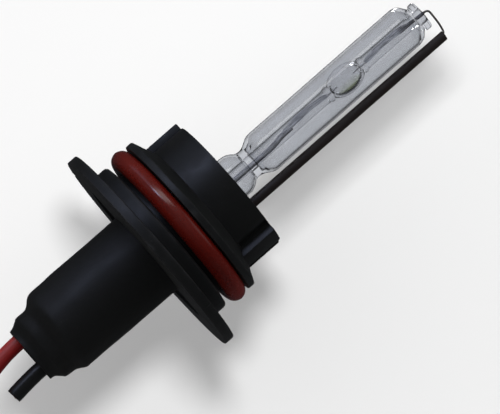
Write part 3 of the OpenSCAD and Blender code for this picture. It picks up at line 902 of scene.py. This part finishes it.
def make_red_lead():
    """The free part is the cord, and a plain tube continues it inside the boot and the plug."""
    path = smooth_path(RED_ROUTE, 6)
    curve = bpy.data.curves.new("red_lead_cord", "CURVE")
    curve.dimensions = "3D"
    line = curve.splines.new("POLY")
    line.points.add(len(path) - 1)
    for point, place in zip(line.points, path):
        point.co = (*(place * MM), 1)
    line.use_smooth = True
    curve.bevel_depth = LEAD_R * MM
    curve.bevel_resolution = 7
    cord = own(new_object("red_lead_cord", curve), "red_silicone", "red_lead")
    make_insulation("red_lead_in_boot", "red_silicone", "red_lead",
                    [(-LEAD_X, 0, STRIP_Z), (-LEAD_X, 0, -22), (-LEAD_X, 0, -33.78)])


def make_insulation(name, slot, node, points):
    """A lead's insulation with its bore. The outer edge of its cut end is eased."""
    path = smooth_path(points, 8)
    outer = tube_rings(path, lambda share: LEAD_R - 0.06 * (share > 0.999), 32)
    inner = tube_rings(path, lambda share: CORE_R + 0.05, 32)
    outer[-2] = [p.lerp(q, 0.9) for p, q in zip(outer[-2], outer[-1])]
    return own(skin(name, outer + inner[::-1], closed=True), slot, node)


def make_black_lead():
    points = [(LEAD_X, 0, STRIP_Z), (LEAD_X, 0, -22), *BLACK_ROUTE]
    make_insulation("black_lead_insulation", "black_silicone", "black_lead", points)


def make_strands():
    """The black lead's core: rings of strands that twist about a middle one."""
    path = smooth_path([(LEAD_X, 0, SPLICE_MIDDLE), (LEAD_X, 0, STRIP_Z), (LEAD_X, 0, -22),
                        *BLACK_ROUTE], 8)
    strand = 0.145
    pitch = 14
    layout = [(0, 0)] + [(2 * strand, 60 * k) for k in range(6)]
    layout += [(4 * strand - 0.03, 30 * k) for k in range(12)]
    whole = bmesh.new()
    for reach, start in layout:
        route = []
        for p in path:
            turn = math.radians(start + 360 * p.z / pitch)
            route.append(p + reach * Vector((math.cos(turn), math.sin(turn), 0)))
        route[-1] = route[-1] + Vector((0, 0, ripple(route[-1], 0.2, 0.12)))
        wire = skin("strand", tube_rings(route, lambda share: strand, 8))
        whole.from_mesh(wire.data)
        bpy.data.objects.remove(wire)
    own(mesh_object("black_core_strands", whole), "copper", "black_core")


# ---------------------------------------------------------------- stage and light
FLOOR_DEPTH = 45
FLOOR_SOLID = 115
FLOOR_END = 175
PALE = 0.965
KEY_SIZE = 84
KEY_POWER = 1.62
KEY_WAY = BACK * 490 + UP * 112
KEY_DISTANCE = 503
THROUGH_GLASS = (0.97, 0.98, 1, 1)
COOL = (0.62, 0.7, 1)
WHITE = (1, 1, 1)
UPPER_LEFT = (-0.74, -0.66, 0.05)


def make_floor():
    """A pale disc behind the object, square to the camera's line, which fades out at its rim and
    is clear from behind. Seen through glass it glows with even painted light, and has painted
    shade towards the sleeve's side."""
    material = bpy.data.materials.new("floor")
    material.use_nodes = True
    tree = material.node_tree
    shader = tree.nodes["Principled BSDF"]
    shader.inputs["Base Color"].default_value = (0.8, 0.8, 0.8, 1)
    shader.inputs["Roughness"].default_value = 0.9
    shader.inputs["Specular IOR Level"].default_value = 0
    place = add(tree, "ShaderNodeTexCoord").outputs["Object"]
    reach = add(tree, "ShaderNodeVectorMath", {0: place}, operation="LENGTH").outputs["Value"]
    rim = between(tree, reach, FLOOR_SOLID * MM, FLOOR_END * MM)
    behind = add(tree, "ShaderNodeNewGeometry").outputs["Backfacing"]
    clear = maths(tree, "MAXIMUM", rim, behind)
    # Painted light: through glass the floor glows instead of being lit, with painted shade towards
    # +X, the sleeve's side.
    place = add(tree, "ShaderNodeNewGeometry").outputs["Position"]
    across = add(tree, "ShaderNodeSeparateXYZ", {"Vector": place}).outputs["X"]
    painted_glow = add(tree, "ShaderNodeEmission", {
        "Color": THROUGH_GLASS, "Strength": between(tree, across, 12 * MM, 42 * MM, 0.92, 0.05)})
    glassy = add(tree, "ShaderNodeLightPath").outputs["Is Transmission Ray"]
    solid = add(tree, "ShaderNodeMixShader", {0: glassy, 1: shader.outputs[0], 2: painted_glow.outputs[0]})
    through = add(tree, "ShaderNodeBsdfTransparent").outputs[0]
    mix = add(tree, "ShaderNodeMixShader", {0: clear, 1: solid.outputs[0], 2: through})
    tree.links.new(mix.outputs[0], tree.nodes["Material Output"].inputs["Surface"])
    mesh = bmesh.new()
    bmesh.ops.create_circle(mesh, cap_ends=True, segments=96, radius=FLOOR_END * 1.02 * MM)
    floor = mesh_object("floor", mesh)
    floor.data.materials.append(material)
    middle = Vector((TARGET.x, 0, TARGET.z)) - BACK * FLOOR_DEPTH
    floor.matrix_world = (Matrix.Translation(middle * MM)
                          @ Matrix((RIGHT, UP, BACK)).transposed().to_4x4())
    floor.visible_glossy = False
    floor.visible_shadow = False
    return floor


def aim(lamp, direction, distance, middle=TARGET):
    """Puts a lamp in a direction from the object's middle, or from another point, facing it."""
    way = Vector(direction).normalized()
    lamp.location = (middle + way * distance) * MM
    lamp.rotation_mode = "QUATERNION"
    lamp.rotation_quaternion = way.to_track_quat("Z", "Y")


def make_key(floor):
    """A lamp near the camera that lights only the floor, where it draws a soft shadow."""
    data = bpy.data.lights.new("key", "AREA")
    data.shape = "DISK"
    data.size = KEY_SIZE * MM
    data.energy = KEY_POWER
    lamp = new_object("key", data)
    aim(lamp, KEY_WAY, KEY_DISTANCE)
    lamp.visible_glossy = False
    lamp.visible_transmission = False
    only_floor = bpy.data.collections.new("key_receivers")
    only_floor.objects.link(floor)
    lamp.light_linking.receiver_collection = only_floor


def make_softbox(name, direction, distance, size, power, colour, shade, middle=TARGET):
    """A softbox that lights what its linking collection allows. The camera doesn't see it."""
    data = bpy.data.lights.new(name, "AREA")
    data.shape = "RECTANGLE"
    data.size = size[0] * MM
    data.size_y = size[1] * MM
    data.energy = power
    data.color = colour
    lamp = new_object(name, data)
    aim(lamp, direction, distance, middle)
    lamp.visible_camera = False
    lamp.light_linking.receiver_collection = shade


def linked(name, pieces, state):
    """A light linking collection. With INCLUDE a lamp lights only its pieces, and with EXCLUDE
    all but them."""
    made = bpy.data.collections.new(name)
    for piece in pieces:
        made.objects.link(piece)
    for entry in made.collection_objects:
        entry.light_linking.link_state = state
    return made


def make_light(floor, glass, ring):
    """A key lamp for the floor, weak softboxes for the object, and more for its glass and ring."""
    make_key(floor)
    not_floor = linked("all_but_floor", [floor], "EXCLUDE")
    solid = linked("all_but_floor_and_glass", [floor, *glass], "EXCLUDE")
    make_softbox("over", UPPER_LEFT, 600, (130, 220), 0.5, COOL, solid)
    make_softbox("side", (-0.97, -0.15, 0.1), 600, (420, 300), 0.14, COOL, not_floor)
    make_softbox("ring_light", (-0.6, -0.65, 0.47), 400, (150, 320), 0.24, WHITE,
                 linked("only_ring", [ring], "INCLUDE"))
    make_softbox("front_end", (0.2, -0.2, 1), 700, (350, 350), 0.12, WHITE, not_floor)
    clear = linked("only_glass", glass, "INCLUDE")
    make_softbox("strip", UPPER_LEFT, 600, (130, 220), 0.18, WHITE, clear)
    make_softbox("glint", (-0.49, 0.64, 0.59), 60, (14, 8), 0.005, WHITE, clear,
                 Vector((0, 0, ARC_Z)))


def make_world():
    """Pale to the camera and through glass. Matt surfaces get a fill that is strongest from -X,
    and glossy ones see a dark room."""
    world = bpy.data.worlds.new("room")
    world.use_nodes = True
    tree = world.node_tree
    base = tree.nodes["Background"]
    base.inputs["Color"].default_value = (PALE, PALE, PALE, 1)
    path = add(tree, "ShaderNodeLightPath").outputs
    room = add(tree, "ShaderNodeBackground", {"Color": (0.02, 0.021, 0.024, 1)})
    way = add(tree, "ShaderNodeTexCoord").outputs["Generated"]
    lean = add(tree, "ShaderNodeVectorMath", {0: way, 1: (-0.95, -0.1, 0.3)},
               operation="DOT_PRODUCT").outputs["Value"]
    fill = add(tree, "ShaderNodeBackground",
               {"Color": (1, 1, 1, 1), "Strength": between(tree, lean, -0.38, 1, 0, 1.8)})
    matt = add(tree, "ShaderNodeMixShader",
               {0: path["Is Diffuse Ray"], 1: base.outputs[0], 2: fill.outputs[0]})
    seen = add(tree, "ShaderNodeMixShader",
               {0: path["Is Glossy Ray"], 1: matt.outputs[0], 2: room.outputs[0]})
    across = add(tree, "ShaderNodeSeparateXYZ", {"Vector": way}).outputs["X"]
    through = add(tree, "ShaderNodeBackground", {
        "Color": THROUGH_GLASS, "Strength": between(tree, across, 0.3, 0.9, 0.9, 0.1)})
    whole = add(tree, "ShaderNodeMixShader",
                {0: path["Is Transmission Ray"], 1: seen.outputs[0], 2: through.outputs[0]})
    tree.links.new(whole.outputs[0], tree.nodes["World Output"].inputs["Surface"])
    bpy.context.scene.world = world


# ---------------------------------------------------------------- making
make_camera()
paint_cad_nodes()
make_red_lead()
make_black_lead()
make_strands()
make_base()
ring = make_o_ring()
glass = [make_jacket(), make_arc_tube()]
make_foil("rear_foil", 1.3)
make_foil("front_foil", 4.1)
make_electrode("rear_electrode", high("rear_electrode").z, low("rear_electrode").z)
make_electrode("front_electrode", low("front_electrode").z, high("front_electrode").z)
make_salts()
make_wires()
make_sleeve()
make_boot()
make_sealant()
for name, width in (("front_insert", 0.2), ("plug_housing", 0.35), ("plug_seal", 0.12)):
    soften(name, width)
make_light(make_floor(), glass, ring)
make_world()
bpy.context.scene.view_settings.view_transform = "Standard"
